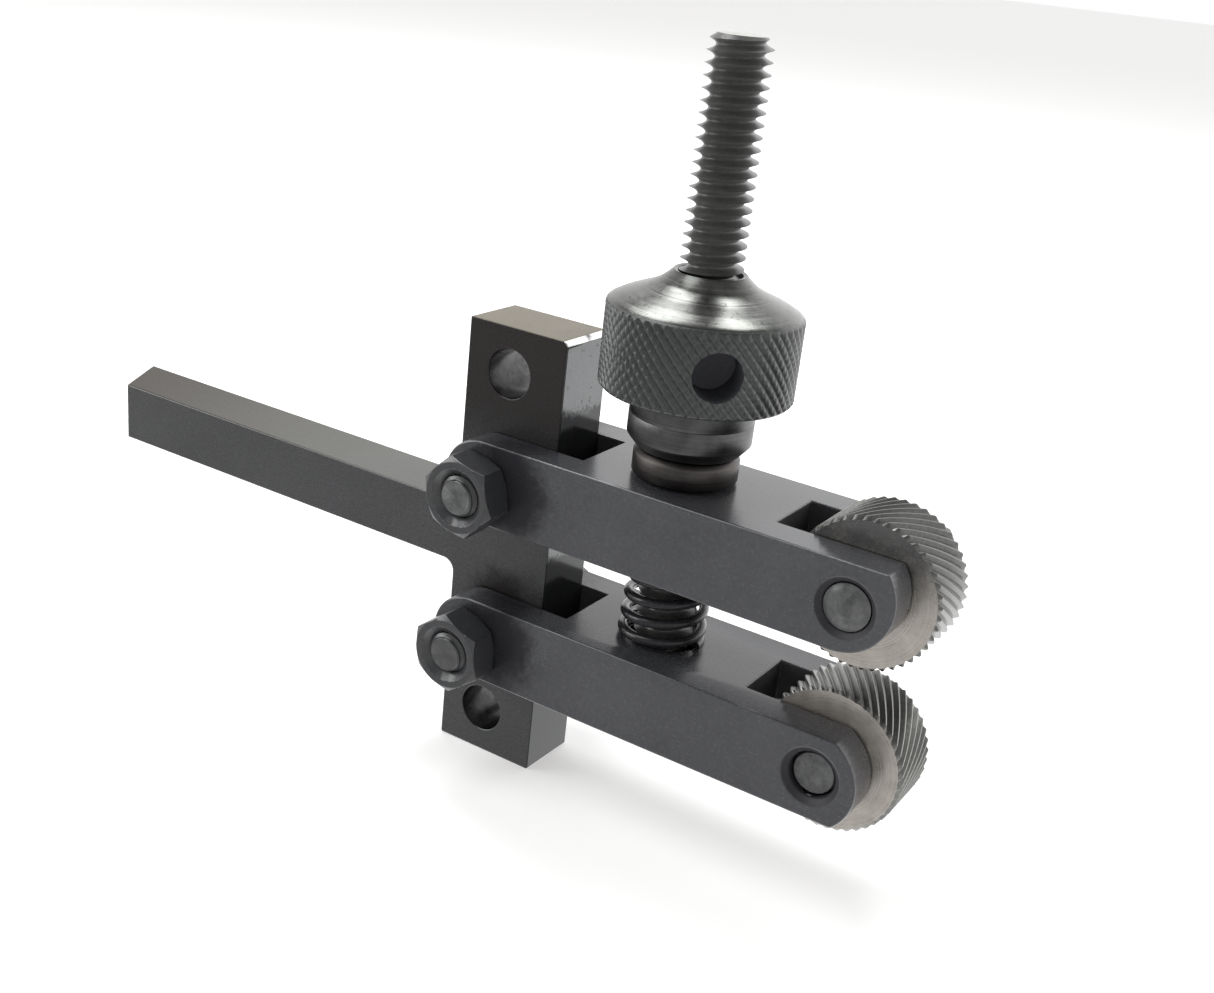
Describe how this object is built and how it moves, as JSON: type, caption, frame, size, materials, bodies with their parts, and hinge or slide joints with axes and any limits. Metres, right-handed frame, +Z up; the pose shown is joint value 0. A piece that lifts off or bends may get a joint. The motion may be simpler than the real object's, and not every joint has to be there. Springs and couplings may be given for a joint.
{
  "type": "clamp type straddle knurling tool",
  "caption": "Square-shank lathe tool whose two pivoted clevis arms, squeezed by a long screw and knurled nut, press a pair of knurl wheels onto round work.",
  "frame": {"origin": "on the underside of the square shank, on its centre line, 40 mm behind the rear face of the head", "axes": "+X along the shank towards the knurl wheels, +Y to the far side with the bolt heads, +Z up along the clamp screw"},
  "size_m": [0.1491, 0.0314, 0.1081],
  "materials": {
    "blackened_steel": "black oxide over fine ground steel, worn bright along the edges",
    "fastener_steel": "oiled black oxide",
    "turned_steel": "turned steel, thinly blackened",
    "knurl_steel": "natural hardened steel, ground sides",
    "spring_steel": "glossy black wire"
  },
  "bodies": {
    "holder": {"holder_body": "blackened_steel"},
    "upper_arm": {"upper_arm": "blackened_steel", "upper_pivot_bolt": "fastener_steel", "upper_pivot_washer": "fastener_steel", "upper_pivot_nut": "fastener_steel", "upper_knurl_pin": "fastener_steel", "upper_pin_grub_screw": "fastener_steel"},
    "lower_arm": {"lower_arm": "blackened_steel", "lower_pivot_bolt": "fastener_steel", "lower_pivot_washer": "fastener_steel", "lower_pivot_nut": "fastener_steel", "lower_knurl_pin": "fastener_steel", "lower_pin_grub_screw": "fastener_steel"},
    "upper_knurl": {"upper_knurl_wheel": "knurl_steel"},
    "lower_knurl": {"lower_knurl_wheel": "knurl_steel"},
    "clamp_screw": {"clamp_screw": "fastener_steel", "seat_washer": "fastener_steel", "spring": "spring_steel"},
    "thrust_washer": {"thrust_washer": "turned_steel"},
    "adjusting_nut": {"adjusting_nut": "turned_steel"}
  },
  "joints": [
    {"name": "upper_arm_hinge", "type": "hinge", "parent": "holder", "child": "upper_arm", "pos_m": [0.0472, 0, 0.015], "axis": [0, -1, 0], "range_deg": [-1.8, 6.1]},
    {"name": "lower_arm_hinge", "type": "hinge", "parent": "holder", "child": "lower_arm", "pos_m": [0.0472, 0, -0.009], "axis": [0, 1, 0], "range_deg": [-1.8, 6.1]},
    {"name": "screw_drop", "type": "slide", "parent": "holder", "child": "clamp_screw", "axis": [0, 0, 1], "range_m": [-0.0032, 0.001]},
    {"name": "washer_lift", "type": "slide", "parent": "clamp_screw", "child": "thrust_washer", "axis": [0, 0, 1], "range_m": [-0.0018, 0.0061], "deforming": ["spring"]},
    {"name": "nut_turn", "type": "hinge", "parent": "thrust_washer", "child": "adjusting_nut", "pos_m": [0.0735, 0, 0.037], "axis": [0, 0, 1], "range_deg": [-440, 1480]},
    {"name": "upper_knurl_spin", "type": "hinge", "parent": "upper_arm", "child": "upper_knurl", "pos_m": [0.1029, 0, 0.016], "axis": [0, 1, 0], "continuous": true},
    {"name": "lower_knurl_spin", "type": "hinge", "parent": "lower_arm", "child": "lower_knurl", "pos_m": [0.1023, 0, -0.008], "axis": [0, 1, 0], "continuous": true}
  ],
  "couplings": [
    {"joint": "upper_arm_hinge", "follows": "washer_lift", "rad_per_m": 16.949},
    {"joint": "lower_arm_hinge", "follows": "washer_lift", "rad_per_m": 16.949},
    {"joint": "screw_drop", "follows": "washer_lift", "ratio": -0.5},
    {"joint": "nut_turn", "follows": "washer_lift", "rad_per_m": 4188.8}
  ]
}
